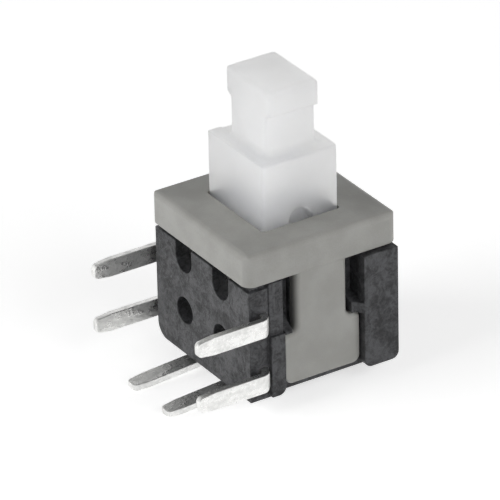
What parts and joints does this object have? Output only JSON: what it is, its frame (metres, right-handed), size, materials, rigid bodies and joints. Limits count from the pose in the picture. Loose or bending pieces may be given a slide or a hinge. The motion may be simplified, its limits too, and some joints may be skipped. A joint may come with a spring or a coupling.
{
  "type": "latching push button switch",
  "caption": "Square latching push button switch with a clipped cover, board leads bent forward and a white plunger that locks down when pressed and springs back.",
  "frame": {"origin": "on the board face, midway between the two middle terminals", "axes": "+Z along the plunger towards its button end, -Y out of the board face along the leads, +X towards the side that holds the latch pin"},
  "size_m": [0.0098, 0.0118, 0.0158],
  "materials": {
    "housing_black": "moulded glass-filled nylon, fine matt texture",
    "cover_grey": "moulded nylon, faintly mottled and satin",
    "plunger_white": "moulded acetal, satin, slightly translucent",
    "terminal_silver": "silver-plated brass strip, semi-bright, stamped edges",
    "spring_steel": "drawn spring wire",
    "spring_copper": "phosphor bronze spring strip"
  },
  "bodies": {
    "housing": {"base": "housing_black", "cover": "cover_grey", "latch_spring": "spring_copper", "return_spring": "spring_steel", "terminal_upper_right": "terminal_silver", "terminal_upper_left": "terminal_silver", "terminal_middle_right": "terminal_silver", "terminal_middle_left": "terminal_silver", "terminal_lower_right": "terminal_silver", "terminal_lower_left": "terminal_silver"},
    "plunger": {"plunger": "plunger_white", "contact_clip_right": "spring_copper", "contact_clip_left": "spring_copper"},
    "latch": {"latch_pin": "spring_steel"}
  },
  "joints": [
    {"name": "plunger_slide", "type": "slide", "parent": "housing", "child": "plunger", "axis": [0, 0, -1], "range_m": [0, 0.0025], "stiffness_N_per_m": 800, "springref_m": -0.00002, "deforming": ["return_spring"]},
    {"name": "latch_swing", "type": "hinge", "parent": "housing", "child": "latch", "pos_m": [0, 0.00415, -0.00013], "axis": [1, 0, 0], "range_deg": [-14.4, 0]}
  ],
  "couplings": [
    {"joint": "latch_swing", "follows": "plunger_slide", "rad_per_m": -99.8}
  ]
}
